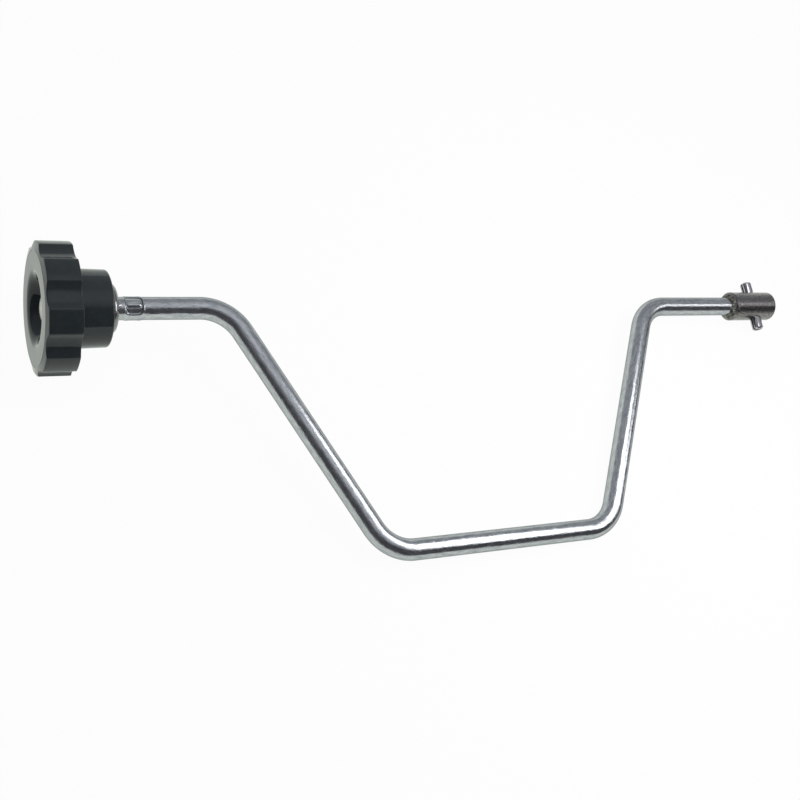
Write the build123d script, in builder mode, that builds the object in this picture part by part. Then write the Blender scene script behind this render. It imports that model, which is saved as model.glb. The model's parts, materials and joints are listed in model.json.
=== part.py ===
from build123d import *
import math
import os

# Crank handle: a bent steel rod with a free-spinning lobed knob on one end
# and a welded drive collar with a cross pin on the other. Millimetres.
# The crank is modelled flat: its turning axis is X, its throw is toward -Y and
# Z is square to the plane of the bends. At the end it is laid on the floor.

# ---- rod -------------------------------------------------------------------
rod_diameter = 12.7
throw = 148.5                   # turning axis to the middle of the grip
leg_angle = 63.8                # of both legs to the turning axis
grip_length = 154.5             # between the corners of the grip
bend_radius = 26.0              # of the rod's centre line
knob_run = 68.4                 # back of the knob's hub to the first corner
drive_run = 77.3                # last corner to the front of the collar

# ---- knob ------------------------------------------------------------------
knob_diameter = 71.4
rim_thickness = 18.2
hub_diameter = 43.0
hub_length = 19.3
hub_draft = 0.5                 # hub is this much smaller in radius at its back
flute_count = 8
flute_angle = 23.0              # between the two corners of one flute
flute_depth = 2.7               # below the knob's full radius
flute_phase = 10.9              # one flute's middle, from +Z toward -Y
corner_round = 0.9
shoulder_width = 4.8            # sloping ring between the flat face and the lobes
shoulder_fall = 1.0             # how far it falls back
edge_round = 0.7                # front edges of the rim
edge_break = 0.35               # back edges of the rim
hub_round = 1.2
recess_radius = 18.0
recess_depth = 7.2
recess_draft = 2.6              # recess floor is this much smaller in radius
lip_round = 4.6
floor_round = 1.6

# ---- bearing and washers ---------------------------------------------------
bush_wall = 1.6
bush_proud = 0.3                # bush stands out of the knob at both ends
running_clearance = 0.05        # radial, rod in the bush
end_float = 0.3                 # knob to each washer
loose_clearance = 0.15          # radial, rod in a washer
front_washer_diameter = 24.0
front_washer_thickness = 1.5
washer_edge_break = 0.3
head_diameter = 14.8            # riveted end of the rod
head_height = 2.3
head_crown = 1.4                # height of the rounded part of the head
dome_washer_diameter = 28.0
dome_washer_height = 3.8
dome_washer_thickness = 1.3
dome_flat = 4.5                 # flat ring around the washer's hole
dome_shoulder_fall = 0.9        # the dome turns down here, below its crown
dome_shoulder_width = 0.9       # and here, in from its rim

# ---- marks pressed into the rod behind the knob ----------------------------
nib_length = 3.4
nib_width = 4.4
nib_height = 0.7
stake_gap = 1.5                 # nibs to the pressed pocket
stake_length = 9.4
stake_width = 10.0
stake_depth = 0.7
stake_corner = 2.0
ridge_length = 7.4
ridge_width = 3.6
ridge_drop = 0.3                # top of the ridge below the rod's surface
ear_width = 3.6
ear_height = 0.35               # metal pushed out at the rod's sides

# ---- drive end -------------------------------------------------------------
collar_diameter = 20.2
collar_length = 37.3
collar_chamfer = 1.0
collar_clearance = 0.1          # radial, rod in the collar's bore
rod_set_back = 1.5              # rod end below the collar's end face
rod_end_chamfer = 0.8
pin_diameter = 7.8              # of the ends that stand free
pin_squeeze = 0.15              # radial, how far the pin is closed in its hole
pin_shoulder = 0.6              # length over which it opens again outside
pin_length = 36.0
pin_wall = 1.6
pin_slot = 1.2
pin_chamfer = 0.9
pin_station = 22.8              # collar's front face to the pin
weld_leg = 2.9
weld_crown = 0.35               # bulge of the bead over a straight fillet

# ---- worked out from the sizes above ---------------------------------------
rod_radius = rod_diameter / 2
knob_radius = knob_diameter / 2
hub_radius = hub_diameter / 2
collar_radius = collar_diameter / 2
pin_radius = pin_diameter / 2
pin_hole_radius = pin_radius - pin_squeeze
leg_run = throw / math.tan(math.radians(leg_angle))

corner_a = 0.0                                  # first corner is at x = 0
corner_b = corner_a + leg_run
corner_c = corner_b + grip_length
corner_d = corner_c + leg_run

hub_back = corner_a - knob_run
rim_back = hub_back - hub_length
knob_face = rim_back - rim_thickness
recess_floor = knob_face + recess_depth

bush_radius = rod_radius + running_clearance + bush_wall
bush_front = recess_floor - bush_proud
bush_back = hub_back + bush_proud
front_washer_back = bush_front - end_float
front_washer_front = front_washer_back - front_washer_thickness
dome_front = bush_back + end_float
dome_back = dome_front + dome_washer_height
nib_front = dome_back
stake_middle = nib_front + nib_length + stake_gap + stake_length / 2

collar_front = corner_d + drive_run
collar_back = collar_front + collar_length
rod_end = collar_back - rod_set_back
pin_x = collar_front + pin_station

turning_axis = Axis((0, 0, 0), (1, 0, 0))
os.makedirs("parts", exist_ok=True)


# ---- crank rod: one bent bar, riveted over at the knob end -----------------
with BuildPart() as stake_die:                  # what the press pushes away
    with BuildSketch(Plane.XY):
        with Locations((stake_middle, 0)):
            RectangleRounded(stake_length, stake_width, stake_corner)
    extrude(amount=rod_diameter)
    with BuildSketch(Plane.YZ.offset(stake_middle - stake_length)):
        Circle(rod_radius - stake_depth)
    extrude(amount=2 * stake_length, mode=Mode.SUBTRACT)

head_radius = head_diameter / 2
head_top = front_washer_front - head_height
head_sphere = (head_radius**2 + head_crown**2) / (2 * head_crown)

with BuildPart() as crank_rod:
    with BuildLine(Plane.XY) as centre_line:
        FilletPolyline(
            (front_washer_front, 0),
            (corner_a, 0),
            (corner_b, -throw),
            (corner_c, -throw),
            (corner_d, 0),
            (rod_end, 0),
            radius=bend_radius,
        )
    with BuildSketch(Plane.YZ.offset(front_washer_front)):
        Circle(rod_radius)
    sweep(path=centre_line.wire())
    rod_tip = crank_rod.faces().sort_by(Axis.X)[-1]
    chamfer(rod_tip.edges(), rod_end_chamfer)
    # riveted head, a low dome over the front washer
    with BuildSketch(Plane.XY):
        with BuildLine():
            Polyline(
                (head_top, 0),
                (front_washer_front, 0),
                (front_washer_front, head_radius),
                (head_top + head_crown, head_radius),
            )
            RadiusArc((head_top + head_crown, head_radius), (head_top, 0), -head_sphere)
        make_face()
    revolve(axis=turning_axis)
    # a pressed pocket above and below, each with a ridge left down its middle
    add(stake_die.part, mode=Mode.SUBTRACT)
    add(stake_die.part.mirror(Plane.XY), mode=Mode.SUBTRACT)
    for side in (1, -1):
        ridge_plane = Plane(origin=(stake_middle, 0, 0), x_dir=(1, 0, 0), z_dir=(0, 0, side))
        with BuildSketch(ridge_plane):
            SlotOverall(ridge_length, ridge_width)
        extrude(amount=rod_radius - ridge_drop)
    # ears at both sides, where the pressed metal went
    for side in (1, -1):
        ear_plane = Plane(origin=(stake_middle, 0, 0), x_dir=(1, 0, 0), z_dir=(0, side, 0))
        with BuildSketch(ear_plane):
            SlotOverall(stake_length, ear_width)
        extrude(amount=rod_radius + ear_height)
    # nibs that keep the dome washer from sliding along the rod
    for side in (1, -1):
        nib_plane = Plane(origin=(0, -nib_width / 2, 0), x_dir=(1, 0, 0), z_dir=(0, 1, 0))
        with BuildSketch(nib_plane):
            with BuildLine():
                Polyline(
                    (nib_front, -side * (rod_radius - nib_height)),
                    (nib_front, -side * (rod_radius + nib_height)),
                    (nib_front + nib_length, -side * (rod_radius - nib_height)),
                    close=True,
                )
            make_face()
        extrude(amount=nib_width)
    # cross hole for the drive pin
    with BuildSketch(Plane.XZ):
        with Locations((pin_x, 0)):
            Circle(pin_hole_radius)
    extrude(amount=rod_diameter, both=True, mode=Mode.SUBTRACT)
crank_rod.part.label = "crank_rod"


# ---- knob: moulded, fluted rim and a plain hub -----------------------------
corner_chord = knob_radius * math.sin(math.radians(flute_angle / 2))
corner_reach = knob_radius * math.cos(math.radians(flute_angle / 2))
flute_sag = corner_reach - (knob_radius - flute_depth)
flute_radius = (corner_chord**2 + flute_sag**2) / (2 * flute_sag)
flute_centre = knob_radius - flute_depth + flute_radius

# a plane square to the axis whose x points up and whose y points toward -Y
knob_plane = Plane(origin=(knob_face, 0, 0), x_dir=(0, 0, 1), z_dir=(1, 0, 0))
rim_middle = (knob_face + rim_back) / 2
shoulder_back = knob_face + shoulder_fall

with BuildPart() as knob:
    with BuildSketch(knob_plane) as rim_outline:
        Circle(knob_radius)
        with PolarLocations(flute_centre, flute_count, start_angle=flute_phase):
            Circle(flute_radius, mode=Mode.SUBTRACT)
        fillet(rim_outline.vertices(), corner_round)
    extrude(amount=rim_thickness)
    # shoulder that falls away from the flat face toward the lobes
    with BuildSketch(Plane.XY):
        with BuildLine():
            Polyline(
                (knob_face, 0),
                (knob_face, knob_radius - shoulder_width),
                (shoulder_back, knob_radius),
                (rim_back, knob_radius),
                (rim_back, 0),
                close=True,
            )
        make_face()
    revolve(axis=turning_axis, mode=Mode.INTERSECT)
    shoulder = knob.faces().filter_by(GeomType.CONE)[0]
    fillet(shoulder.outer_wire().edges(), edge_round)
    chamfer(knob.faces().sort_by(Axis.X)[-1].edges(), edge_break)
    # hub, with a little draft
    with BuildSketch(Plane.XY):
        with BuildLine():
            Polyline(
                (rim_middle, 0),
                (rim_middle, hub_radius),
                (rim_back, hub_radius),
                (hub_back, hub_radius - hub_draft),
                (hub_back, 0),
                close=True,
            )
        make_face()
    revolve(axis=turning_axis)
    fillet(knob.faces().sort_by(Axis.X)[-1].edges(), hub_round)
    # dished recess around the rod's riveted end
    with BuildSketch(Plane.XY):
        with BuildLine():
            Polyline(
                (knob_face, 0),
                (knob_face, recess_radius),
                (recess_floor, recess_radius - recess_draft),
                (recess_floor, 0),
                close=True,
            )
        make_face()
    revolve(axis=turning_axis, mode=Mode.SUBTRACT)
    across_axis = knob.faces().filter_by(Plane.YZ).sort_by(Axis.X)
    front_face = across_axis[0]
    floor_face = across_axis[1]
    fillet(front_face.inner_wires().edges(), lip_round)
    fillet(floor_face.outer_wire().edges(), floor_round)
    # bore for the bush
    with BuildSketch(Plane.YZ.offset(knob_face)):
        Circle(bush_radius)
    extrude(amount=rim_thickness + hub_length, mode=Mode.SUBTRACT)
knob.part.label = "knob"


# ---- bush pressed into the knob ---------------------------------------------
with BuildPart() as knob_bush:
    with BuildSketch(Plane.YZ.offset(bush_front)):
        Circle(bush_radius)
        Circle(rod_radius + running_clearance, mode=Mode.SUBTRACT)
    extrude(amount=bush_back - bush_front)
knob_bush.part.label = "knob_bush"


# ---- flat washer under the riveted head -------------------------------------
with BuildPart() as front_washer:
    with BuildSketch(Plane.YZ.offset(front_washer_front)):
        Circle(front_washer_diameter / 2)
        Circle(rod_radius + loose_clearance, mode=Mode.SUBTRACT)
    extrude(amount=front_washer_thickness)
    washer_rim = front_washer.edges().filter_by(GeomType.CIRCLE).sort_by(SortBy.RADIUS)[-2:]
    chamfer(washer_rim, washer_edge_break)
front_washer.part.label = "front_washer"


# ---- domed thrust washer between the hub and the nibs -----------------------
dome_radius = dome_washer_diameter / 2
dome_hole = rod_radius + loose_clearance
with BuildPart() as dome_washer:
    with BuildSketch(Plane.XY):
        with BuildLine():
            # a strip of even thickness, flat at the hole and bent down to the rim
            Line((dome_back, dome_hole), (dome_back, dome_hole + dome_flat))
            ThreePointArc(
                (dome_back, dome_hole + dome_flat),
                (dome_back - dome_shoulder_fall, dome_radius - dome_shoulder_width),
                (dome_front, dome_radius),
            )
            offset(amount=dome_washer_thickness, side=Side.LEFT)
        make_face()
    revolve(axis=turning_axis)
    # its rim is flat where it bears on the hub
    split(bisect_by=Plane.YZ.offset(dome_front), keep=Keep.TOP)
dome_washer.part.label = "dome_washer"


# ---- drive collar ------------------------------------------------------------
with BuildPart() as drive_collar:
    with BuildSketch(Plane.YZ.offset(collar_front)):
        Circle(collar_radius)
        Circle(rod_radius + collar_clearance, mode=Mode.SUBTRACT)
    extrude(amount=collar_length)
    collar_rims = drive_collar.edges().filter_by(GeomType.CIRCLE).sort_by(SortBy.RADIUS)[-2:]
    chamfer(collar_rims, collar_chamfer)
    with BuildSketch(Plane.XZ):
        with Locations((pin_x, 0)):
            Circle(pin_hole_radius)
    extrude(amount=collar_diameter, both=True, mode=Mode.SUBTRACT)
drive_collar.part.label = "drive_collar"


# ---- weld bead that joins the collar to the rod ------------------------------
weld_bulge = weld_leg / 2 + weld_crown
with BuildPart() as collar_weld:
    with BuildSketch(Plane.XY):
        with BuildLine():
            Polyline(
                (collar_front - weld_leg, rod_radius),
                (collar_front, rod_radius),
                (collar_front, rod_radius + weld_leg),
                (collar_front - weld_bulge, rod_radius + weld_bulge),
                close=True,
            )
        make_face()
    revolve(axis=turning_axis)
collar_weld.part.label = "collar_weld"


# ---- slotted spring pin across the collar ------------------------------------
# closed in its hole, and a little wider where its two ends stand free
pin_end = pin_length / 2
pin_plane = Plane(origin=(pin_x, 0, 0))
pin_axis = Axis((pin_x, 0, 0), (0, 1, 0))
with BuildPart() as cross_pin:
    with BuildSketch(pin_plane):
        with BuildLine():
            Polyline(
                (0, 0),
                (pin_hole_radius, 0),
                (pin_hole_radius, collar_radius),
                (pin_radius, collar_radius + pin_shoulder),
                (pin_radius, pin_end - pin_chamfer),
                (pin_radius - pin_chamfer, pin_end),
                (0, pin_end),
                close=True,
            )
        make_face()
        mirror(about=Plane.XZ)
    revolve(axis=pin_axis)
    with BuildSketch(Plane(origin=(pin_x, 0, 0), x_dir=(1, 0, 0), z_dir=(0, 1, 0))):
        Circle(pin_radius - pin_wall)
        with Locations((-pin_radius / 2, 0)):
            Rectangle(pin_radius, pin_slot)
    extrude(amount=pin_end, both=True, mode=Mode.SUBTRACT)
cross_pin.part.label = "cross_pin"


# ---- lay the crank on the floor ----------------------------------------------
# It rests on the knob's rim, on the bend nearest the collar and on the collar's
# end. All three touch one plane, and down is the direction square to it.
rim_station = rim_back - edge_break
collar_station = collar_back - collar_chamfer
slant = math.atan((knob_radius - collar_radius) / (collar_station - rim_station))
bend_centre_x = corner_c - bend_radius * math.tan(math.radians(leg_angle / 2))
bend_centre_y = -throw + bend_radius
down_x = math.sin(slant)
# the bend reaches as low as the collar where reach - down_y * bend_centre_y is
# bend_radius * hypot(down_x, down_y), a quadratic in down_y
reach = down_x * (collar_station - bend_centre_x) + collar_radius * math.cos(slant) - rod_radius
lever = bend_centre_y**2 - bend_radius**2
shortfall = reach**2 - (bend_radius * down_x) ** 2
discriminant = (reach * bend_centre_y) ** 2 - lever * shortfall
down_y = (reach * bend_centre_y + math.sqrt(discriminant)) / lever
up = Vector(-down_x, -down_y, math.sqrt(1 - down_x**2 - down_y**2))
along = (Vector(1, 0, 0) - up * up.X).normalized()
laid = Plane(origin=(0, 0, 0), x_dir=along, z_dir=up).location.inverse()

pieces = [
    crank_rod.part,
    knob.part,
    knob_bush.part,
    front_washer.part,
    dome_washer.part,
    drive_collar.part,
    collar_weld.part,
    cross_pin.part,
]
for piece in pieces:
    piece.move(laid)
box = Compound(pieces).bounding_box()
centring = Location((-box.center().X, -box.center().Y, -box.min.Z))
for piece in pieces:
    piece.move(centring)

export_step(crank_rod.part, "parts/crank_rod.step")
export_step(knob.part, "parts/knob.step")
export_step(knob_bush.part, "parts/knob_bush.step")
export_step(front_washer.part, "parts/front_washer.step")
export_step(dome_washer.part, "parts/dome_washer.step")
export_step(drive_collar.part, "parts/drive_collar.step")
export_step(collar_weld.part, "parts/collar_weld.step")
export_step(cross_pin.part, "parts/cross_pin.step")
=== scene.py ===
import json
import math

import bpy
import numpy as np
from mathutils import Matrix, Vector


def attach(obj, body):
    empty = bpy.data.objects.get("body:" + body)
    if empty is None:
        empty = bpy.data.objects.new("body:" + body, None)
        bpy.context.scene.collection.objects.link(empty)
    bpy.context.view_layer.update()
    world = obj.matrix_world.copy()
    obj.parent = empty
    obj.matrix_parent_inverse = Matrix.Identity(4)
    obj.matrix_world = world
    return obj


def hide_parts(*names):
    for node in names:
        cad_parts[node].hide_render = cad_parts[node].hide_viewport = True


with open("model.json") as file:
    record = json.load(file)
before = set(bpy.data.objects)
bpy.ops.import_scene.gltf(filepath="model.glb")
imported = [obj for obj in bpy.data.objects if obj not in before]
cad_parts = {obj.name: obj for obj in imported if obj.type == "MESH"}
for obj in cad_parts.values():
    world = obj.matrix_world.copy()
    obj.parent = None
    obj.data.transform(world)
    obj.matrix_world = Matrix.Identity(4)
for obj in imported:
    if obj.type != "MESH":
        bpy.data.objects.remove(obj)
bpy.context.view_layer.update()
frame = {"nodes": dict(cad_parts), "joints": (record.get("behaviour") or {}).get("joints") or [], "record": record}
print("frame loaded,", len(frame["nodes"]), "nodes")

# The crank's own directions, read from the frame: along its turning axis from knob to
# collar, across that axis in the plane of the bends, and square to that plane. Pieces
# are worked out in millimetres in these directions, from the back of the knob's rim.
mounts = {mount["name"]: mount for mount in frame["record"]["mounts"]}
knobSpin = frame["joints"][0]
alongWay = np.array(knobSpin["axis"])
acrossWay = np.array(mounts["cross_pin_far"]["axis"])
squareWay = np.cross(alongWay, acrossWay)
ownAxes = np.stack([alongWay, acrossWay, squareWay])
ownOrigin = np.array(knobSpin["pos_m"])
millimetre = 0.001
nearly = 0.01                   # lengths in millimetres that differ by less count as the same


def toFrame(points):
    return ownOrigin + points @ ownAxes * millimetre


def ownBox(nodeName):
    # lowest and highest values of a CAD node along the crank's own directions
    mesh = frame["nodes"][nodeName].data
    flat = np.empty(len(mesh.vertices) * 3)
    mesh.vertices.foreach_get("co", flat)
    own = (flat.reshape(-1, 3) - ownOrigin) @ ownAxes.T / millimetre
    return own.min(axis=0), own.max(axis=0)


knobLow, knobHigh = ownBox("knob")
rodLow = ownBox("crank_rod")[0]
collarLow, collarHigh = ownBox("drive_collar")
pinLow, pinHigh = ownBox("cross_pin")
domeLow, domeHigh = ownBox("dome_washer")
flatLow, flatHigh = ownBox("front_washer")
weldHigh = ownBox("collar_weld")[1]


def surfacePiece(name, grid, body, node, material, joinRows=False, lay=None, sharp=30,
                 wallShade=None):
    # A grid of points, rows by ring, made into one mesh. The ring always closes on
    # itself. The rows close too with joinRows; otherwise each end row is closed by a
    # fan to its middle. lay holds a second set of coordinates for the material, and the
    # last argument gives one value of painted shade for each point of the grid.
    rowCount, ringCount = grid.shape[:2]
    rowStarts = np.arange(rowCount if joinRows else rowCount - 1)
    row, ring = np.meshgrid(rowStarts, np.arange(ringCount), indexing="ij")
    nextRow, nextRing = (row + 1) % rowCount, (ring + 1) % ringCount
    corners = [row * ringCount + ring, row * ringCount + nextRing,
               nextRow * ringCount + nextRing, nextRow * ringCount + ring]
    faces = np.stack(corners, axis=-1).reshape(-1, 4).tolist()
    points = grid.reshape(-1, 3)
    layPoints = points if lay is None else lay.reshape(-1, 3)
    if not joinRows:
        for endRow in (0, rowCount - 1):
            pole = len(points)
            start = endRow * ringCount
            points = np.vstack([points, grid[endRow].mean(axis=0)])
            layPoints = np.vstack([layPoints, layPoints[start:start + ringCount].mean(axis=0)])
            here = start + np.arange(ringCount)
            there = start + (np.arange(ringCount) + 1) % ringCount
            fan = [here, there] if endRow else [there, here]
            faces += np.stack(fan + [np.full(ringCount, pole)], axis=-1).tolist()
    mesh = bpy.data.meshes.new(name)
    mesh.from_pydata(toFrame(points).tolist(), [], faces)
    first, second, third = (points[[face[k] for face in faces]] for k in range(3))
    if np.einsum("ij,ij->", first, np.cross(second, third)) < 0:      # signed volume
        mesh.flip_normals()
    mesh.shade_smooth()
    mesh.set_sharp_from_angle(angle=math.radians(sharp))
    attribute = mesh.attributes.new("lay", "FLOAT_VECTOR", "POINT")
    attribute.data.foreach_set("vector", (layPoints * millimetre).ravel())
    if wallShade is not None:
        shadeWeight = np.append(wallShade.ravel(), np.zeros(len(points) - wallShade.size))
        mesh.attributes.new("wallShade", "FLOAT", "POINT").data.foreach_set("value", shadeWeight)
    mesh.materials.append(material)
    piece = bpy.data.objects.new(name, mesh)
    bpy.context.scene.collection.objects.link(piece)
    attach(piece, body)
    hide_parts(node)
    print("made", name, "with", len(faces), "faces")


def roundedOutline(corners, rounds, steps=6, closed=True):
    # Corner points joined by straight lines, each corner rounded by an arc of its own
    # radius: the arc starts radius * tan(half the turn) before the corner.
    corners = np.array(corners, dtype=float)
    count = len(corners)
    outline = []
    for k in range(count):
        here = corners[k]
        if rounds[k] == 0 or (not closed and k in (0, count - 1)):
            outline.append(here)
            continue
        back = corners[k - 1] - here
        ahead = corners[(k + 1) % count] - here
        back /= np.linalg.norm(back)
        ahead /= np.linalg.norm(ahead)
        half = math.acos(np.clip(back @ ahead, -1, 1)) / 2
        middle = back + ahead
        middle /= np.linalg.norm(middle)
        centre = here + middle * rounds[k] / math.sin(half)
        reach = rounds[k] / math.tan(half)
        start, end = here + back * reach - centre, here + ahead * reach - centre
        sweep = math.pi - 2 * half
        for t in np.linspace(0, 1, steps + 1):
            ratio = (math.sin((1 - t) * sweep), math.sin(t * sweep))
            outline.append(centre + (start * ratio[0] + end * ratio[1]) / math.sin(sweep))
    return np.array(outline)


def turned(outline, ringCount):
    # every (station, radius) of the outline carried round the turning axis
    angle = np.linspace(0, 2 * np.pi, ringCount, endpoint=False)
    station = np.repeat(outline[:, :1], ringCount, axis=1)
    across = outline[:, 1:] * np.sin(angle)
    square = outline[:, 1:] * np.cos(angle)
    return np.stack([station, across, square], axis=-1)


def easedBox(distance, half, soft):
    # 1 within half of zero, 0 outside, with an eased step of width soft
    edge = np.clip((half - np.abs(distance)) / soft + 0.5, 0, 1)
    return edge * edge * (3 - 2 * edge)


def newMaterial(name):
    material = bpy.data.materials.new(name)
    material.use_nodes = True
    tree = material.node_tree
    return material, tree, tree.nodes["Principled BSDF"]


def addNode(tree, kind, **settings):
    node = tree.nodes.new(kind)
    for key, value in settings.items():
        if hasattr(node, key):
            setattr(node, key, value)
        else:
            node.inputs[key.replace("_", " ")].default_value = value
    return node


def layScaled(tree, scale):
    # the piece's own lay coordinates, stretched by scale
    attribute = addNode(tree, "ShaderNodeAttribute", attribute_name="lay")
    stretch = addNode(tree, "ShaderNodeVectorMath", operation="MULTIPLY")
    stretch.inputs[1].default_value = scale
    tree.links.new(attribute.outputs["Vector"], stretch.inputs[0])
    return stretch.outputs[0]


def noiseOf(tree, vector, scale, detail=3.0, roughness=0.55):
    noise = addNode(tree, "ShaderNodeTexNoise", Scale=scale, Detail=detail, Roughness=roughness)
    tree.links.new(vector, noise.inputs["Vector"])
    return noise.outputs["Fac"]


def rampOf(tree, factor, stops):
    ramp = addNode(tree, "ShaderNodeValToRGB")
    points = ramp.color_ramp.elements
    for k, (position, colour) in enumerate(stops):
        point = points[k] if k < 2 else points.new(position)
        point.position = position
        point.color = (*colour, 1)
    tree.links.new(factor, ramp.inputs["Fac"])
    return ramp.outputs["Color"]


def rangeOf(tree, factor, low, high):
    spread = addNode(tree, "ShaderNodeMapRange", To_Min=low, To_Max=high)
    spread.inputs["From Min"].default_value = 0.3
    spread.inputs["From Max"].default_value = 0.7
    tree.links.new(factor, spread.inputs["Value"])
    return spread.outputs["Result"]


def smoothStep(tree, value, start, end):
    step = addNode(tree, "ShaderNodeMapRange", interpolation_type="SMOOTHSTEP")
    step.inputs["From Min"].default_value = start
    step.inputs["From Max"].default_value = end
    tree.links.new(value, step.inputs["Value"])
    return step.outputs["Result"]


def mixOf(tree, factor, first, second):
    # first where factor is 0, second where it is 1; each is a colour or another node's output
    mix = addNode(tree, "ShaderNodeMix", data_type="RGBA")
    tree.links.new(factor, mix.inputs["Factor"])
    for socket, colour in ((mix.inputs[6], first), (mix.inputs[7], second)):
        if isinstance(colour, tuple):
            socket.default_value = (*colour, 1)
        else:
            tree.links.new(colour, socket)
    return mix.outputs[2]


def bumpFrom(tree, height, distance, after=None):
    bump = addNode(tree, "ShaderNodeBump", Strength=1.0, Distance=distance)
    tree.links.new(height, bump.inputs["Height"])
    if after is not None:
        tree.links.new(after, bump.inputs["Normal"])
    return bump.outputs["Normal"]


def platedBar():
    # bright plate over drawn bar: long drawing marks and a faint mottle
    material, tree, shader = newMaterial("platedBar")
    drawn = noiseOf(tree, layScaled(tree, (60, 900, 900)), 1.0, 4)
    mottle = noiseOf(tree, layScaled(tree, (200, 620, 620)), 1.0, 6, 0.7)
    plate = rampOf(tree, mottle, [(0.32, (0.33, 0.34, 0.38)), (0.5, (0.46, 0.48, 0.50)),
                                  (0.66, (0.58, 0.57, 0.60))])
    tree.links.new(rangeOf(tree, mottle, 0.08, 0.18), shader.inputs["Roughness"])
    coarse = bumpFrom(tree, mottle, 0.00014)
    tree.links.new(bumpFrom(tree, drawn, 0.00004, coarse), shader.inputs["Normal"])
    shader.inputs["Metallic"].default_value = 1
    shader.inputs["Specular Tint"].default_value = (0.5, 0.5, 0.52, 1)
    # the riveted end is bare steel, and its brighter cream tone is a painted highlight
    station = addNode(tree, "ShaderNodeSeparateXYZ")
    tree.links.new(layScaled(tree, (1, 1, 1)), station.inputs[0])
    headEdge = (rodLow[0] + barForm["headHeight"]) * millimetre
    plateStart = headEdge + barForm["headFade"] * millimetre
    shank = smoothStep(tree, station.outputs["X"], headEdge, plateStart)
    bareSteelHighlit = rampOf(tree, mottle, [(0.3, (0.66, 0.64, 0.58)), (0.7, (0.86, 0.84, 0.77))])
    tint = mixOf(tree, shank, bareSteelHighlit, plate)
    # painted shade: the plate is drawn dark on the steep walls of the pressed marks
    wallShade = addNode(tree, "ShaderNodeAttribute", attribute_name="wallShade").outputs["Fac"]
    tree.links.new(mixOf(tree, wallShade, tint, (0.06, 0.05, 0.055)), shader.inputs["Base Color"])
    return material


def blackMoulding():
    # glossy black moulding with a faint orange peel and light handling marks
    material, tree, shader = newMaterial("blackMoulding")
    peel = noiseOf(tree, layScaled(tree, (1, 1, 1)), 260, 2)
    marks = noiseOf(tree, layScaled(tree, (1, 1, 1)), 900, 5, 0.7)
    tint = rampOf(tree, peel, [(0.3, (0.024, 0.032, 0.036)), (0.7, (0.030, 0.038, 0.043))])
    tree.links.new(tint, shader.inputs["Base Color"])
    tree.links.new(rangeOf(tree, marks, 0.05, 0.11), shader.inputs["Roughness"])
    tree.links.new(bumpFrom(tree, peel, 0.00004), shader.inputs["Normal"])
    shader.inputs["IOR"].default_value = 1.42
    return material


def washerSteel():
    # pressed and plated sheet with a fine, even grain
    material, tree, shader = newMaterial("washerSteel")
    grain = noiseOf(tree, layScaled(tree, (1, 1, 1)), 1900, 4)
    tint = rampOf(tree, grain, [(0.3, (0.20, 0.185, 0.18)), (0.65, (0.30, 0.295, 0.30))])
    tree.links.new(tint, shader.inputs["Base Color"])
    tree.links.new(rangeOf(tree, grain, 0.10, 0.20), shader.inputs["Roughness"])
    tree.links.new(bumpFrom(tree, grain, 0.00003), shader.inputs["Normal"])
    shader.inputs["Metallic"].default_value = 1
    return material


def collarSteel():
    # turned collar with dull, slightly speckled zinc plate
    material, tree, shader = newMaterial("collarSteel")
    speckle = noiseOf(tree, layScaled(tree, (1, 1, 1)), 1100, 5, 0.7)
    turning = noiseOf(tree, layScaled(tree, (2600, 60, 60)), 1.0, 2)
    tint = rampOf(tree, speckle, [(0.3, (0.115, 0.10, 0.094)), (0.5, (0.175, 0.163, 0.16)),
                                  (0.7, (0.42, 0.42, 0.44))])
    tree.links.new(tint, shader.inputs["Base Color"])
    tree.links.new(rangeOf(tree, speckle, 0.19, 0.08), shader.inputs["Roughness"])
    coarse = bumpFrom(tree, speckle, 0.00019)
    tree.links.new(bumpFrom(tree, turning, 0.00002, coarse), shader.inputs["Normal"])
    shader.inputs["Metallic"].default_value = 1
    return material


def weldMetal():
    # uneven bead, dulled and stained brown and green-grey by its heat
    material, tree, shader = newMaterial("weldMetal")
    stain = noiseOf(tree, layScaled(tree, (1, 1, 1)), 320, 4, 0.6)
    pits = noiseOf(tree, layScaled(tree, (1, 1, 1)), 1500, 4)
    tint = rampOf(tree, stain, [(0.35, (0.065, 0.050, 0.042)), (0.5, (0.12, 0.115, 0.10)),
                                (0.68, (0.33, 0.35, 0.33))])
    tree.links.new(tint, shader.inputs["Base Color"])
    tree.links.new(rangeOf(tree, stain, 0.28, 0.48), shader.inputs["Roughness"])
    tree.links.new(bumpFrom(tree, pits, 0.00035), shader.inputs["Normal"])
    shader.inputs["Metallic"].default_value = 0.9
    return material


def pinSteel():
    # bright rolled spring steel with marks along its length
    material, tree, shader = newMaterial("pinSteel")
    rolled = noiseOf(tree, layScaled(tree, (1400, 90, 1400)), 1.0, 3)
    tint = rampOf(tree, rolled, [(0.3, (0.34, 0.32, 0.35)), (0.7, (0.52, 0.52, 0.55))])
    tree.links.new(tint, shader.inputs["Base Color"])
    tree.links.new(rangeOf(tree, rolled, 0.05, 0.13), shader.inputs["Roughness"])
    tree.links.new(bumpFrom(tree, rolled, 0.00003), shader.inputs["Normal"])
    shader.inputs["Metallic"].default_value = 1
    return material


def bushSteel():
    # plain turned bush, seen only as a thin edge
    material, tree, shader = newMaterial("bushSteel")
    place = addNode(tree, "ShaderNodeTexCoord").outputs["Object"]
    grain = noiseOf(tree, place, 1200, 3)
    tint = rampOf(tree, grain, [(0.3, (0.38, 0.36, 0.34)), (0.7, (0.50, 0.48, 0.46))])
    tree.links.new(tint, shader.inputs["Base Color"])
    tree.links.new(rangeOf(tree, grain, 0.25, 0.4), shader.inputs["Roughness"])
    tree.links.new(bumpFrom(tree, grain, 0.00003), shader.inputs["Normal"])
    shader.inputs["Metallic"].default_value = 1
    return material


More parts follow.
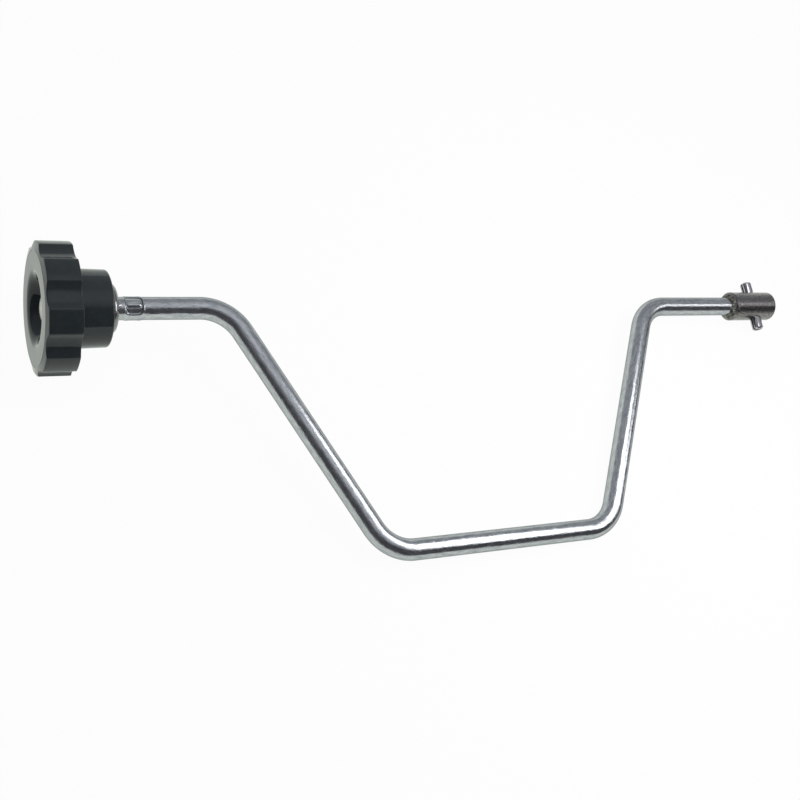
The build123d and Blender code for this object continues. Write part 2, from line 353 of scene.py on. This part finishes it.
barForm = {
    "radius": 6.35,
    "throw": 148.5,             # turning axis to the middle of the grip
    "legAngle": 63.8,
    "gripLength": 154.5,
    "bendRadius": 26.0,
    "firstCorner": 68.4,        # from the back of the knob's hub
    "headRadius": 7.4,          # riveted end
    "headHeight": 2.3,
    "headCrown": 1.4,
    "headBevel": 0.15,          # at the back edge of the head
    "headFade": 0.4,            # the plate begins over this length behind the head
    "endChamfer": 0.8,
    "endSetBack": 1.5,          # from the collar's end face
    "endClear": 1.0,            # no even rows this near to either end
    "ringCount": 160,
    "crownStart": 0.03,         # first ring of the head, as a share of its radius
    "crownRows": 14,
    "bendRows": 42,
    "coarseStep": 4.0,          # between rows along the bar
    "fineStep": 0.12,           # between rows at the pressed marks
    "fineLength": 22.0,         # length of that stretch, from the front of the dome washer
}
stakeForm = {
    "nibLength": 3.4,
    "nibWidth": 4.4,
    "nibHeight": 0.7,
    "nibTaper": 0.75,           # how much narrower the nib's thin end is
    "nibSoftness": 0.7,
    "gap": 1.5,                 # nib to pocket
    "length": 9.4,
    "width": 10.0,
    "depth": 0.7,
    "squareness": 4.6,          # 2 is an oval pocket, more is squarer
    "wallSoftness": 0.13,       # width of the pocket's wall, as a share of its half size
    "lipHeight": 0.10,
    "lipAt": 1.13,              # where the lip is highest, as a share of the pocket's half size
    "lipSpread": 0.07,
    "lipLimit": 0.12,           # no lip at the bar's sides: least square of the cosine
    "ridgeLength": 8.4,
    "ridgeWidth": 3.6,
    "ridgeDrop": 0.1,
    "ridgePower": 0.9,          # less is a fuller ridge
    "earHeight": 0.4,
    "earHalfWidth": 2.2,
    "earSoftness": 2.4,
    "earFade": 2.0,             # softness of an ear's two ends
    "earWave": 0.45,            # dip between an ear's two ends
    "wallShadeShare": 0.65,          # how dark the painted shade is on the steepest walls
    "wallShadeFrom": 0.35,           # steepness where the painted shade starts
    "wallShadeOver": 0.9,            # and how much steeper it is full
}


def barLine(form, startStation, endStation):
    # Straight runs joined by arcs. Each run keeps where it starts, its heading there and
    # its curvature, so a point is start + (sin, -cos) differences of the heading / curvature.
    angle = math.radians(form["legAngle"])
    cut = form["bendRadius"] * math.tan(angle / 2)
    leg = form["throw"] / math.sin(angle)
    arc = form["bendRadius"] * angle
    bend = 1 / form["bendRadius"]
    firstCorner = knobHigh[0] + form["firstCorner"]
    lengths = [firstCorner - cut - startStation, arc, leg - 2 * cut, arc,
               form["gripLength"] - 2 * cut, arc, leg - 2 * cut, arc]
    turns = [0, -bend, 0, bend, 0, bend, 0, -bend, 0]
    starts = startStation + np.concatenate([[0], np.cumsum(lengths)])
    heading, place = [0.0], [np.array([startStation, 0.0])]
    for length, turn in zip(lengths, turns):
        before, after = heading[-1], heading[-1] + turn * length
        if turn:
            step = np.array([math.sin(after) - math.sin(before),
                             math.cos(before) - math.cos(after)]) / turn
        else:
            step = length * np.array([math.cos(before), math.sin(before)])
        heading.append(after)
        place.append(place[-1] + step)
    heading, place, turns = np.array(heading), np.array(place), np.array(turns)
    lastLength = endStation - place[-1][0]

    def along(station):
        run = np.clip(np.searchsorted(starts, station, side="right") - 1, 0, len(turns) - 1)
        distance = station - starts[run]
        turn, before = turns[run], heading[run]
        after = before + turn * distance
        safe = np.where(turn == 0, 1, turn)
        bent = np.stack([np.sin(after) - np.sin(before),
                         np.cos(before) - np.cos(after)], -1) / safe[:, None]
        straight = distance[:, None] * np.stack([np.cos(before), np.sin(before)], -1)
        return place[run] + np.where(turn[:, None] == 0, straight, bent), after

    return along, starts, starts[-1] + lastLength


def stakeRelief(form, station, angle, radius):
    # How far the bar's surface stands out, in millimetres: two sunk pockets, above and
    # below, each with a ridge down its middle, ears beside them and nibs before them.
    nibStart = domeHigh[0]
    halfLength = form["length"] / 2
    middle = nibStart + form["nibLength"] + form["gap"] + halfLength
    fromMiddle = station - middle
    side = radius * np.sin(angle)                       # across the bar
    power = form["squareness"]
    spread = np.abs(fromMiddle / halfLength) ** power + np.abs(side / (form["width"] / 2)) ** power
    outward = spread ** (1 / power)
    pocket = easedBox(outward, 1, form["wallSoftness"])
    lip = np.exp(-((outward - form["lipAt"]) / form["lipSpread"]) ** 2)
    lip = lip * (np.cos(angle) ** 2 > form["lipLimit"])
    # the ridge is a pillow with round ends: its height falls about with the square of
    # the distance from its middle line
    halfRidge = form["ridgeWidth"] / 2
    beyond = np.maximum(np.abs(fromMiddle) - (form["ridgeLength"] / 2 - halfRidge), 0)
    pillow = np.clip(1 - (np.hypot(beyond, side) / halfRidge) ** 2, 0, 1) ** form["ridgePower"]
    relief = -form["depth"] * pocket + (form["depth"] - form["ridgeDrop"]) * pillow
    relief = relief + form["lipHeight"] * lip
    ear = easedBox(fromMiddle, halfLength, form["earFade"])
    ear = ear * easedBox(radius * np.cos(angle), form["earHalfWidth"], form["earSoftness"])
    wave = 1 - form["earWave"] * np.cos(np.pi * np.clip(fromMiddle / halfLength, -1, 1) / 2) ** 2
    relief = relief + form["earHeight"] * ear * wave
    down = np.clip((station - nibStart) / form["nibLength"], 0, 1)
    nibHalf = form["nibWidth"] / 2 * (1 - form["nibTaper"] * down)
    nibAcross = easedBox(side, nibHalf, form["nibSoftness"])
    return relief + form["nibHeight"] * (1 - down) * nibAcross * (station > nibStart)


def makeCrankRod(form, stake):
    radius, headRadius, bevel = form["radius"], form["headRadius"], form["headBevel"]
    headTop, shankStart = rodLow[0], rodLow[0] + form["headHeight"]
    along, starts, endStation = barLine(form, headTop, collarHigh[0] - form["endSetBack"])
    # head: a low cap that rises with the square of its radius, a short cylinder and the
    # step down to the shank
    crown = np.linspace(form["crownStart"], 1, form["crownRows"])
    capRise = form["headCrown"] * crown ** 2
    rows = [(headTop + rise, headRadius * share) for share, rise in zip(crown, capRise)]
    rows += [(shankStart - bevel, headRadius), (shankStart, headRadius - bevel), (shankStart, radius)]
    fineStart, fineEnd = domeLow[0], domeLow[0] + form["fineLength"]
    fine = np.arange(fineStart, fineEnd, form["fineStep"])
    evenStart, evenEnd = shankStart + form["endClear"], endStation - form["endClear"]
    even = np.arange(evenStart, evenEnd, form["coarseStep"])
    bends = [np.linspace(starts[k], starts[k + 1], form["bendRows"]) for k in (1, 3, 5, 7)]
    shank = np.unique(np.concatenate([fine, even] + bends))
    rows += [(station, radius) for station in shank]
    rows += [(endStation - form["endChamfer"], radius), (endStation, radius - form["endChamfer"])]
    station, rowRadius = np.array(rows).T
    angle = np.linspace(0, 2 * np.pi, form["ringCount"], endpoint=False)
    relief = stakeRelief(stake, station[:, None], angle[None, :], radius)
    relief[rowRadius < radius - nearly] = 0
    relief[station < evenStart] = 0
    # painted shade, which follows how fast the relief changes along and round the bar
    steepness = np.hypot(*np.gradient(relief, form["fineStep"], radius * (angle[1] - angle[0])))
    shadeWeight = np.clip((steepness - stake["wallShadeFrom"]) / stake["wallShadeOver"], 0, 1)
    onMarks = (station > fineStart) & (station < fineEnd)
    # painted shade on the walls of the pressed marks, one value for each point
    wallShade = stake["wallShadeShare"] * shadeWeight * onMarks[:, None]
    ringRadius = rowRadius[:, None] + relief
    place, heading = along(station)
    across, square = ringRadius * np.sin(angle), ringRadius * np.cos(angle)
    grid = np.stack([place[:, :1] - across * np.sin(heading)[:, None],
                     place[:, 1:] + across * np.cos(heading)[:, None],
                     square], axis=-1)
    lay = np.stack([np.repeat(station[:, None], len(angle), axis=1), across, square], axis=-1)
    surfacePiece("crankRod", grid, "crank", "crank_rod", platedBar(), lay=lay, wallShade=wallShade)


makeCrankRod(barForm, stakeForm)


knobForm = {
    "fluteCount": 8,
    "fluteAngle": 23.0,
    "fluteDepth": 2.7,
    "flutePhase": 10.9,
    "cornerRound": 0.9,
    "cornerSoftness": 0.35,     # width of the smooth minimum, as a share of cornerRound
    "cornerLift": 0.02,         # and a small lift, as a share of that width
    "shoulderWidth": 4.8,
    "shoulderFall": 1.0,
    "grooveWidth": 0.7,         # fine line between the flat face and the shoulder
    "grooveDepth": 0.22,
    "edgeRound": 0.7,
    "edgeBreak": 0.35,
    "hubRadius": 21.5,
    "hubDraft": 0.5,
    "hubRound": 1.2,
    "rootRound": 0.4,
    "backRing": 6.0,            # the rim's flat back starts this far in from the full radius
    "recessRadius": 18.0,
    "recessDepth": 7.2,
    "recessDraft": 2.6,
    "lipRound": 4.6,
    "floorRound": 1.6,
    "boreRadius": 8.0,
    "ringCount": 512,
}


def rimRadius(form, fullRadius, angle):
    # Distance from the axis to the rim. In a flute it is the near side of the flute's
    # circle along that ray, and a smooth minimum rounds the corner to the full radius.
    half = math.radians(form["fluteAngle"] / 2)
    chord, reach = fullRadius * math.sin(half), fullRadius * math.cos(half)
    sag = reach - (fullRadius - form["fluteDepth"])
    fluteRadius = (chord ** 2 + sag ** 2) / (2 * sag)
    centre = fullRadius - form["fluteDepth"] + fluteRadius
    pitch = 2 * math.pi / form["fluteCount"]
    offset = (angle - math.radians(form["flutePhase"]) + pitch / 2) % pitch - pitch / 2
    inside = np.maximum(fluteRadius ** 2 - (centre * np.sin(offset)) ** 2, 0)
    nearSide = centre * np.cos(offset) - np.sqrt(inside)
    gap = nearSide - fullRadius
    soft = form["cornerRound"] * form["cornerSoftness"]
    return fullRadius + 0.5 * (gap - np.sqrt(gap ** 2 + soft ** 2)) + soft * form["cornerLift"]


def makeKnob(form):
    face, rimBack, hubBack = knobLow[0], 0.0, knobHigh[0]
    fullRadius = knobHigh[1]
    angle = np.linspace(0, 2 * np.pi, form["ringCount"], endpoint=False)
    # the angle is measured from square toward the throw, as the flutes are counted
    rim = rimRadius(form, fullRadius, angle)
    flatRadius = fullRadius - form["shoulderWidth"]
    slope = form["shoulderFall"] / form["shoulderWidth"]
    lean = math.atan(slope)
    floor = face + form["recessDepth"]
    steady = []                 # rows that are true circles: (station, radius)
    recess = roundedOutline(
        [(floor, form["boreRadius"]), (floor, form["recessRadius"] - form["recessDraft"]),
         (face, form["recessRadius"]), (face, flatRadius)],
        [0, form["floorRound"], form["lipRound"], 0], steps=10, closed=False)
    steady += [tuple(point) for point in recess[:-1]]
    halfGroove = form["grooveWidth"] / 2
    steady += [(face, flatRadius - halfGroove), (face + form["grooveDepth"], flatRadius)]
    rows = [(np.full_like(rim, station), np.full_like(rim, radius)) for station, radius in steady]
    # shoulder, from the groove out to where the edge's round begins
    edge = form["edgeRound"]
    edgeStart = rim - edge + edge * math.sin(lean)
    for t in (0.06, 0.35, 0.7, 1.0):
        radius = flatRadius + (edgeStart - flatRadius) * t
        rows.append((face + slope * (radius - flatRadius), radius))
    edgeCentre = rows[-1][0] + edge * math.cos(lean)
    for turn in np.linspace(lean, math.pi / 2, 7)[1:]:
        rows.append((edgeCentre - edge * math.cos(turn), rim - edge + edge * math.sin(turn)))
    for t in (0.25, 0.5, 0.75):
        rows.append((edgeCentre + (rimBack - form["edgeBreak"] - edgeCentre) * t, rim))
    for turn in np.linspace(0, math.pi / 2, 4):
        small = form["edgeBreak"]
        rows.append((np.full_like(rim, rimBack - small + small * math.sin(turn)),
                     rim - small + small * math.cos(turn)))
    hub = roundedOutline(
        [(rimBack, fullRadius - form["backRing"]), (rimBack, form["hubRadius"]),
         (hubBack, form["hubRadius"] - form["hubDraft"]), (hubBack, form["boreRadius"])],
        [0, form["rootRound"], form["hubRound"], 0], steps=6, closed=False)
    rows += [(np.full_like(rim, station), np.full_like(rim, radius)) for station, radius in hub]
    station = np.stack([row[0] for row in rows])
    radius = np.stack([row[1] for row in rows])
    grid = np.stack([station, -radius * np.sin(angle), radius * np.cos(angle)], axis=-1)
    surfacePiece("lobedKnob", grid, "spinner", "knob", blackMoulding(), joinRows=True)


makeKnob(knobForm)


domeForm = {
    "holeRadius": 6.5,
    "rimRadius": 14.0,
    "thickness": 1.3,
    "flat": 4.5,                # flat ring around the hole
    "shoulderFall": 0.9,        # the dome turns down here, below its crown
    "shoulderIn": 0.9,          # and here, in from its rim
    "holeBevel": 0.12,
    "arcRows": 16,
    "ringCount": 128,
}


def makeDomeWasher(form):
    low, high, wall = domeLow[0], domeHigh[0], form["thickness"]
    # outer line: flat at the hole, then an arc down to the rim
    crown = form["holeRadius"] + form["flat"]
    first = np.array([high, crown])
    second = np.array([high - form["shoulderFall"], form["rimRadius"] - form["shoulderIn"]])
    third = np.array([low, form["rimRadius"]])
    system = 2 * np.stack([second - first, third - first])
    centre = np.linalg.solve(system, [second @ second - first @ first, third @ third - first @ first])
    reach = np.linalg.norm(first - centre)
    startTurn = math.atan2(*(first - centre)[::-1])
    endTurn = math.atan2(*(third - centre)[::-1])
    turn = np.linspace(startTurn, endTurn, form["arcRows"])[:, None]
    around = np.hstack([np.cos(turn), np.sin(turn)])
    outer = centre + reach * around
    inner = centre + (reach - wall) * around
    inner = inner[inner[:, 0] >= low]
    lip = [[low, inner[-1][1]]] if inner[-1][0] > low + nearly else []
    hole, bevel = form["holeRadius"], form["holeBevel"]
    outline = np.vstack([[high - bevel, hole], [high, hole + bevel], outer,
                         *lip, inner[::-1], [high - wall, hole]])
    surfacePiece("domeWasher", turned(outline, form["ringCount"]), "crank", "dome_washer",
                 washerSteel(), joinRows=True)


makeDomeWasher(domeForm)


flatWasherForm = {
    "holeRadius": 6.5,
    "rimRadius": 12.0,
    "holeRound": 0.15,
    "edgeRound": 0.3,
    "ringCount": 128,
}


def makeFlatWasher(form):
    low, high = flatLow[0], flatHigh[0]
    corners = [(low, form["holeRadius"]), (low, form["rimRadius"]),
               (high, form["rimRadius"]), (high, form["holeRadius"])]
    rounds = [form["holeRound"], form["edgeRound"], form["edgeRound"], form["holeRound"]]
    outline = roundedOutline(corners, rounds, steps=3)
    surfacePiece("frontWasher", turned(outline, form["ringCount"]), "crank", "front_washer",
                 washerSteel(), joinRows=True)


makeFlatWasher(flatWasherForm)


pinForm = {
    "radius": 3.9,
    "holeRadius": 3.75,
    "shoulder": 0.6,            # the pin opens over this length outside its hole
    "wall": 1.6,
    "slot": 1.2,
    "chamfer": 0.9,
    "chamferMiddle": (0.3, 0.62),   # a point of the rounded chamfer: shares of it, back and in
    "arcCount": 72,
}
pinStation = (pinLow[0] + pinHigh[0]) / 2

collarForm = {
    "radius": 10.1,
    "boreRadius": 6.45,
    "edge": 1.0,
    "boreRound": 0.1,
    "edgeRound": 0.35,
    "pinRing": 0.5,             # narrow ring of broken edge around the pin's holes
    "pinRingDepth": 0.25,
    "pinRingSoftness": 0.5,
    "fineHalf": 6.0,            # rows stand fineStep apart this far to each side of the pin
    "fineStep": 0.2,
    "coarseStep": 3.0,
    "endClear": 2.0,            # no even rows this near to the end face
    "ringCount": 192,
}


def makeCollar(form, pin):
    low, high = collarLow[0], collarHigh[0]
    corners = [(low, form["boreRadius"]), (low, form["radius"] - form["edge"]),
               (low + form["edge"], form["radius"]), (high - form["edge"], form["radius"]),
               (high, form["radius"] - form["edge"]), (high, form["boreRadius"])]
    rounds = [form["boreRound"]] + 4 * [form["edgeRound"]] + [form["boreRound"]]
    outline = roundedOutline(corners, rounds, steps=3)
    # rows close together where the pin passes, so that its holes' edges can be shaped
    outerStart = np.argmax(outline[:, 1] > form["radius"] - 1e-6)
    fineStart, fineEnd = pinStation - form["fineHalf"], pinStation + form["fineHalf"]
    coarse = form["coarseStep"]
    inside = np.concatenate([np.arange(low + coarse, fineStart, coarse),
                             np.arange(fineStart, fineEnd, form["fineStep"]),
                             np.arange(fineEnd, high - form["endClear"], coarse)])
    added = np.stack([inside, np.full_like(inside, form["radius"])], axis=-1)
    outline = np.vstack([outline[:outerStart + 1], added, outline[outerStart + 1:]])
    grid = turned(outline, form["ringCount"])
    fromPin = np.hypot(grid[..., 0] - pinStation, grid[..., 2])
    onSkin = (outline[:, 1] > form["radius"] - 1e-6)[:, None]
    ringReach = pin["holeRadius"] + form["pinRing"]
    sink = form["pinRingDepth"] * easedBox(fromPin, ringReach, form["pinRingSoftness"]) * onSkin
    grid[..., 1:] *= (1 - sink / form["radius"])[..., None]
    surfacePiece("driveCollar", grid, "crank", "drive_collar", collarSteel(),
                 joinRows=True, lay=grid)


makeCollar(collarForm, pinForm)


weldForm = {
    "leg": 2.9,
    "crown": 0.35,
    "crownGain": 1.41,          # from the crown along each leg to a bulge square to the face
    "diagonal": 1.414,          # a bulge square to the bead's face is shared out by this
    "rippleHeight": 0.30,
    # each wave: height, count round the bar, wobble, count of the wobble, phase, lean
    "waves": [(0.6, 11, 1.3, 2, 0, 1), (0.4, 5, 0, 0, 2.0, -2), (0.35, 23, 0.9, 3, 0, 2),
              (0.25, 37, 1.7, 4, 0, -3)],
    "lean": 2.5,
    "shrink": 0.82,             # mean leg of the bead, as a share of leg
    "shrinkWave": (0.06, 3, 0.5),   # its height, count round the bar and phase
    "turnRows": 25,
    "ringCount": 320,
}


def makeWeld(form):
    # A three-cornered bead whose bulge rises and falls round the bar: a sum of sines of
    # the angle, each with its own wobble, that fades out at both edges of the bead.
    high = weldHigh[0]
    inner = barForm["radius"]
    turn = np.linspace(0, 1, form["turnRows"])[:, None]
    angle = np.linspace(0, 2 * np.pi, form["ringCount"], endpoint=False)[None, :]
    lean = form["lean"] * turn
    swell = 0
    for height, count, wobble, wobbleCount, phase, share in form["waves"]:
        wave = count * angle + wobble * np.sin(wobbleCount * angle) + phase + share * lean
        swell = swell + height * np.sin(wave)
    waveHeight, waveCount, wavePhase = form["shrinkWave"]
    shrink = form["shrink"] + waveHeight * np.sin(waveCount * angle + wavePhase)
    bulge = (form["crown"] * 4 * turn * (1 - turn) * form["crownGain"]
             + form["rippleHeight"] * swell * np.sin(np.pi * turn))
    leg = form["leg"] * shrink
    station = high - leg * (1 - turn) - bulge / form["diagonal"]
    radius = inner + leg * turn + bulge / form["diagonal"]
    station = np.vstack([station, np.full_like(angle, high)])
    radius = np.vstack([radius, np.full_like(angle, inner)])
    grid = np.stack([station, radius * np.sin(angle), radius * np.cos(angle)], axis=-1)
    surfacePiece("collarWeld", grid, "crank", "collar_weld", weldMetal(),
                 joinRows=True, sharp=60)


makeWeld(weldForm)


def pinGrid(form, collarRadius):
    # A ring with a slot, carried along the pin. The outer arc follows the pin's outline;
    # the inner arc keeps one radius. The slot faces the knob.
    end = pinHigh[1]
    skin, closed, cut = form["radius"], form["holeRadius"], form["chamfer"]
    back, drawnIn = form["chamferMiddle"]
    half = [(0, closed), (collarRadius, closed), (collarRadius + form["shoulder"], skin),
            (end - cut, skin), (end - cut * back, skin - cut * drawnIn), (end, skin - cut)]
    outline = np.array([(-y, r) for y, r in reversed(half)] + half[1:])
    inner = form["radius"] - form["wall"]

    def arc(radius, count):
        gap = np.arcsin(form["slot"] / 2 / radius)
        return gap + (2 * np.pi - 2 * gap) * np.linspace(0, 1, count)[None, :]

    outerTurn = arc(outline[:, 1:], form["arcCount"])
    innerTurn = arc(np.full((len(outline), 1), inner), form["arcCount"])[:, ::-1]
    turn = np.hstack([outerTurn, innerTurn])
    radius = np.hstack([np.repeat(outline[:, 1:], form["arcCount"], axis=1),
                        np.full((len(outline), form["arcCount"]), inner)])
    station = pinStation - radius * np.cos(turn)
    across = np.repeat(outline[:, :1], turn.shape[1], axis=1)
    return np.stack([station, across, radius * np.sin(turn)], axis=-1)


def makeCrossPin(form, collarRadius):
    # The two end faces are strips between the outer and the inner arc, made by repeating
    # the end rows with the outer arc drawn in to the inner one.
    grid = pinGrid(form, collarRadius)
    count = form["arcCount"]
    caps = []
    for endRow in (grid[0], grid[-1]):
        cap = endRow.copy()
        cap[:count] = endRow[count:][::-1]
        caps.append(cap)
    rows = np.concatenate([[caps[0]], grid, [caps[1]]])
    surfacePiece("crossPin", rows, "crank", "cross_pin", pinSteel(), lay=rows)


makeCrossPin(pinForm, collarForm["radius"])
frame["nodes"]["knob_bush"].data.materials.clear()
frame["nodes"]["knob_bush"].data.materials.append(bushSteel())


floorForm = {
    "size": 12.0,
    "colour": (0.82, 0.86, 0.82),
    "roughness": 0.9,
    "specular": 0.1,
    "whiteShare": 0.96,                 # how far the camera sees it as plain white
    "mirroredShare": 0.88,              # and how far metal and glass do
    "mirroredTint": (0.94, 1.0, 0.93),
}
skyForm = {
    "dark": (0.105, 0.105, 0.11),
    "pale": (0.42, 0.44, 0.46),
    "towards": (0.1, 0.75, 0.65),       # the pale side of the studio
    "turn": (0.1, 0.75),                # cosines where it starts and is full
    "overhead": (0.70, 0.72, 0.76),     # a pale ceiling panel with soft edges
    "overheadAt": (0.184, 0.061, 0.98),
    "overheadTurn": (0.83, 0.985),
    "horizon": (0.04, 0.10),            # the floor's white runs up to here and is gone here
}
# each lamp shines at the middle of the crank and is turned about that line by roll
lampForms = [
    {"name": "nearSoftbox", "at": (0.184, -0.052, 0.306), "half": (0.167, 0.106), "roll": -1.15,
     "radiance": 3.0, "mirrored": True},
    {"name": "topSoftbox", "at": (0.30, 0.10, 1.60), "half": (0.60, 0.60), "roll": 0.0,
     "radiance": 0.65, "mirrored": False},
    {"name": "sideSoftbox", "at": (0.66, -0.03, 0.46), "half": (0.12, 0.08), "roll": 0.0,
     "radiance": 2.2, "mirrored": True},
]
lampTarget = (0.03, -0.03, 0.0)
cameraForm = {
    "lookAt": (-0.0555, 0.0006, 0.02),
    "distance": 0.6823,
    "azimuth": 50.91,
    "elevation": 56.85,
    "roll": -41.98,
    "lens": 51.78,
    "sensorWidth": 36.0,
    "clipStart": 0.01,
}


def makeFloor(form):
    half = form["size"] / 2
    mesh = bpy.data.meshes.new("floor")
    corners = [(-half, -half, 0), (half, -half, 0), (half, half, 0), (-half, half, 0)]
    mesh.from_pydata(corners, [], [(0, 1, 2, 3)])
    floor = bpy.data.objects.new("floor", mesh)
    bpy.context.scene.collection.objects.link(floor)
    material, tree, shader = newMaterial("paleFloor")
    shader.inputs["Base Color"].default_value = (*form["colour"], 1)
    shader.inputs["Roughness"].default_value = form["roughness"]
    shader.inputs["Specular IOR Level"].default_value = form["specular"]
    # the camera, metal and glass see it mostly as plain white, with the shadow kept
    path = addNode(tree, "ShaderNodeLightPath")
    mirrored = addNode(tree, "ShaderNodeMath", operation="MAXIMUM")
    mirroredPart = addNode(tree, "ShaderNodeMath", operation="MULTIPLY")
    mirroredPart.inputs[1].default_value = form["mirroredShare"]
    share = addNode(tree, "ShaderNodeMath", operation="MULTIPLY_ADD")
    share.inputs[1].default_value = form["whiteShare"]
    white = addNode(tree, "ShaderNodeEmission", Strength=1.0)
    seen = mixOf(tree, mirrored.outputs[0], (1, 1, 1), form["mirroredTint"])
    tree.links.new(seen, white.inputs["Color"])
    mix = addNode(tree, "ShaderNodeMixShader")
    tree.links.new(path.outputs["Is Glossy Ray"], mirrored.inputs[0])
    tree.links.new(path.outputs["Is Transmission Ray"], mirrored.inputs[1])
    tree.links.new(mirrored.outputs[0], mirroredPart.inputs[0])
    tree.links.new(path.outputs["Is Camera Ray"], share.inputs[0])
    tree.links.new(mirroredPart.outputs[0], share.inputs[2])
    tree.links.new(share.outputs[0], mix.inputs["Fac"])
    tree.links.new(shader.outputs[0], mix.inputs[1])
    tree.links.new(white.outputs[0], mix.inputs[2])
    tree.links.new(mix.outputs[0], tree.nodes["Material Output"].inputs["Surface"])
    mesh.materials.append(material)


def makeSky(form):
    # a dim studio, paler to one side and overhead, with a white strip at floor level
    world = bpy.data.worlds.new("studio")
    bpy.context.scene.world = world
    world.use_nodes = True
    tree = world.node_tree
    background = tree.nodes["Background"]
    direction = addNode(tree, "ShaderNodeTexCoord").outputs["Generated"]

    def facing(towards, turn):
        dot = addNode(tree, "ShaderNodeVectorMath", operation="DOT_PRODUCT")
        dot.inputs[1].default_value = Vector(towards).normalized()
        tree.links.new(direction, dot.inputs[0])
        return smoothStep(tree, dot.outputs["Value"], *turn)

    studio = rampOf(tree, facing(form["towards"], form["turn"]), [(0, form["dark"]), (1, form["pale"])])
    panel = mixOf(tree, facing(form["overheadAt"], form["overheadTurn"]), studio, form["overhead"])
    height = addNode(tree, "ShaderNodeSeparateXYZ")
    tree.links.new(direction, height.inputs[0])
    rise = smoothStep(tree, height.outputs["Z"], *form["horizon"])
    tree.links.new(mixOf(tree, rise, (1, 1, 1), panel), background.inputs["Color"])


def makeLamp(form):
    data = bpy.data.lights.new(form["name"], "AREA")
    data.shape = "RECTANGLE"
    data.size, data.size_y = (2 * half for half in form["half"])
    # watts that give this radiance: radiance times pi times the lamp's area
    data.energy = form["radiance"] * math.pi * data.size * data.size_y
    lamp = bpy.data.objects.new(form["name"], data)
    bpy.context.scene.collection.objects.link(lamp)
    lamp.visible_camera = False
    lamp.visible_glossy = form["mirrored"]
    at = Vector(form["at"])
    back = (at - Vector(lampTarget)).normalized()
    side = Vector((0, 1, 0)).cross(back).normalized()
    turn = Matrix((side, back.cross(side), back)).transposed() @ Matrix.Rotation(form["roll"], 3, "Z")
    lamp.matrix_world = Matrix.Translation(at) @ turn.to_4x4()


def makeCamera(form):
    azimuth, elevation, roll = (math.radians(form[key]) for key in ("azimuth", "elevation", "roll"))
    forward = Vector((math.sin(azimuth) * math.cos(elevation),
                      math.cos(azimuth) * math.cos(elevation), -math.sin(elevation)))
    level = Vector((math.cos(azimuth), -math.sin(azimuth), 0))
    upright = level.cross(forward)
    up = upright * math.cos(roll) + level * math.sin(roll)
    right = forward.cross(up)
    data = bpy.data.cameras.new("camera")
    data.lens = form["lens"]
    data.sensor_width = form["sensorWidth"]
    data.clip_start = form["clipStart"]
    camera = bpy.data.objects.new("camera", data)
    bpy.context.scene.collection.objects.link(camera)
    turn = Matrix((right, up, -forward)).transposed().to_4x4()
    camera.matrix_world = Matrix.Translation(Vector(form["lookAt"]) - forward * form["distance"]) @ turn
    bpy.context.scene.camera = camera


makeFloor(floorForm)
makeSky(skyForm)
for lampForm in lampForms:
    makeLamp(lampForm)
makeCamera(cameraForm)
bpy.context.scene.view_settings.view_transform = "Standard"
print("floor, light and camera ready")
